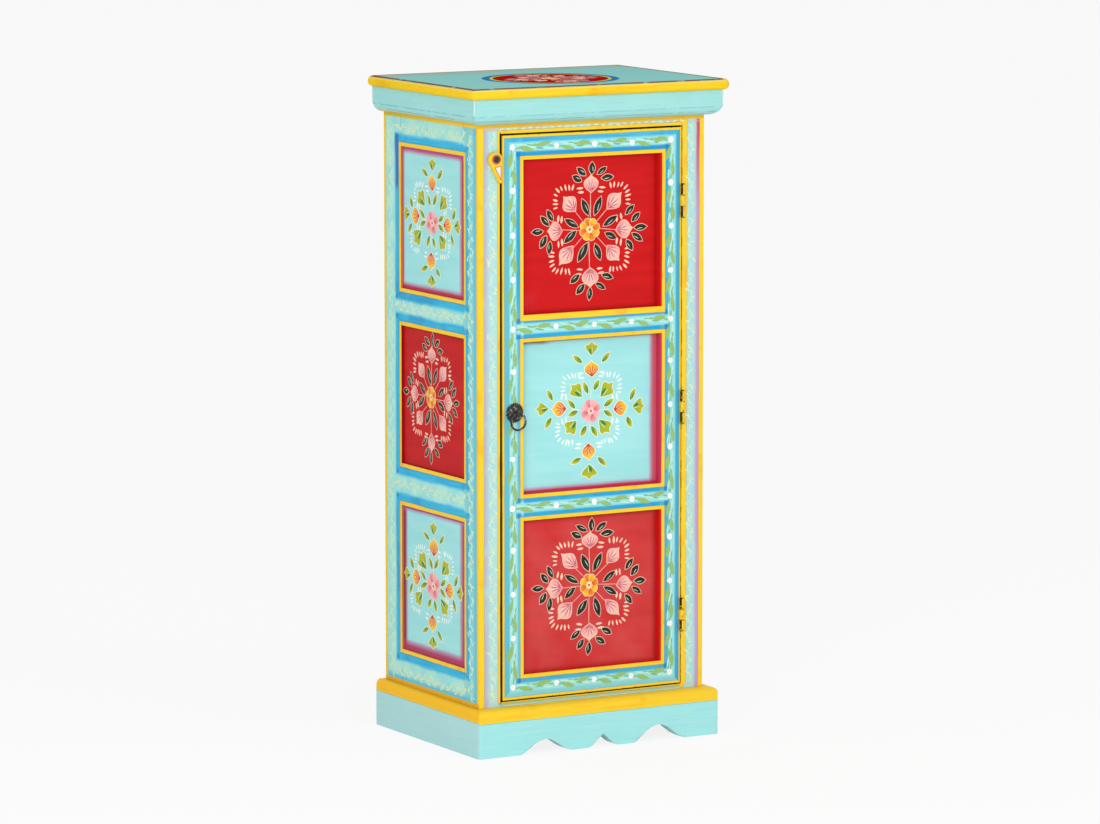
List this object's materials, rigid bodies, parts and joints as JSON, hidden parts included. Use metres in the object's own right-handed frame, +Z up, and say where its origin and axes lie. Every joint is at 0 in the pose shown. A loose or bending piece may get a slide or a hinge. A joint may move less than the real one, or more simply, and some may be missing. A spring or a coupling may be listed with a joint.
{
  "type": "painted cabinet",
  "caption": "Tall narrow free-standing wooden cabinet with panelled sides, one panelled hinged door, shelves, ring pull, turn button and scalloped plinth.",
  "frame": {"origin": "on the floor, under the middle of the top board, which is the middle of the whole object's plan", "axes": "+X to the right as seen from the front, +Y from the front to the back, +Z up"},
  "size_m": [0.4, 0.3, 0.9],
  "materials": {
    "frame_paint": "hand-brushed turquoise gloss paint with yellow lines and pale vines",
    "door_paint": "pale turquoise gloss paint shaded blue, yellow lines, green leaves and white dots",
    "red_panel_paint": "red gloss paint with a painted bunch of flowers",
    "turquoise_panel_paint": "turquoise gloss paint with a crimson border and painted flowers",
    "top_paint": "turquoise gloss paint with a yellow edge and a round red medallion",
    "plinth_paint": "turquoise gloss paint under a yellow top band",
    "button_paint": "yellow gloss paint with a red ring and a pale triangle",
    "bare_wood": "plain oiled hardwood",
    "painted_hinge": "yellow paint worn through to dark steel",
    "black_iron": "blackened hand-forged iron",
    "dark_steel": "dark aged steel"
  },
  "bodies": {
    "carcass": {"back_bottom_rail": "bare_wood", "back_left_post": "frame_paint", "back_lower_panel": "bare_wood", "back_middle_rail": "bare_wood", "back_right_post": "frame_paint", "back_top_rail": "bare_wood", "back_upper_panel": "bare_wood", "bottom_board": "bare_wood", "cornice_front": "frame_paint", "cornice_left": "frame_paint", "cornice_right": "frame_paint", "frame_hinge_screws": "dark_steel", "front_bottom_rail": "frame_paint", "front_left_post": "frame_paint", "front_right_post": "frame_paint", "front_top_rail": "frame_paint", "hinge_frame_leaves": "painted_hinge", "hinge_pins": "painted_hinge", "latch_screw": "dark_steel", "latch_washer": "dark_steel", "left_bottom_panel": "turquoise_panel_paint", "left_bottom_rail": "frame_paint", "left_lower_rail": "frame_paint", "left_middle_panel": "red_panel_paint", "left_top_panel": "turquoise_panel_paint", "left_top_rail": "frame_paint", "left_upper_rail": "frame_paint", "lower_shelf": "bare_wood", "plinth_back": "bare_wood", "plinth_front": "plinth_paint", "plinth_left": "plinth_paint", "plinth_right": "plinth_paint", "right_bottom_panel": "turquoise_panel_paint", "right_bottom_rail": "frame_paint", "right_lower_rail": "frame_paint", "right_middle_panel": "red_panel_paint", "right_top_panel": "turquoise_panel_paint", "right_top_rail": "frame_paint", "right_upper_rail": "frame_paint", "shelf_cleats": "bare_wood", "top_board": "top_paint", "upper_shelf": "bare_wood"},
    "door": {"door_bottom_panel": "red_panel_paint", "door_bottom_rail": "door_paint", "door_hinge_screws": "dark_steel", "door_hinge_stile": "door_paint", "door_latch_stile": "door_paint", "door_lower_rail": "door_paint", "door_middle_panel": "turquoise_panel_paint", "door_top_panel": "red_panel_paint", "door_top_rail": "door_paint", "door_upper_rail": "door_paint", "hinge_door_leaves": "painted_hinge", "pull_rosette": "black_iron", "pull_eye_bolt": "black_iron", "pull_nut": "dark_steel"},
    "latch": {"turn_button": "button_paint"},
    "ring": {"pull_ring": "black_iron"}
  },
  "joints": [
    {"name": "door_swing", "type": "hinge", "parent": "carcass", "child": "door", "pos_m": [0.14025, -0.1232, 0.45325], "axis": [0, 0, 1], "range_deg": [0, 170]},
    {"name": "latch_turn", "type": "hinge", "parent": "carcass", "child": "latch", "pos_m": [-0.1515, -0.1213, 0.804], "axis": [0, -1, 0], "continuous": true},
    {"name": "ring_swing", "type": "hinge", "parent": "door", "child": "ring", "pos_m": [-0.1197, -0.13065, 0.462], "axis": [-1, 0, 0], "range_deg": [-18, 160]}
  ]
}
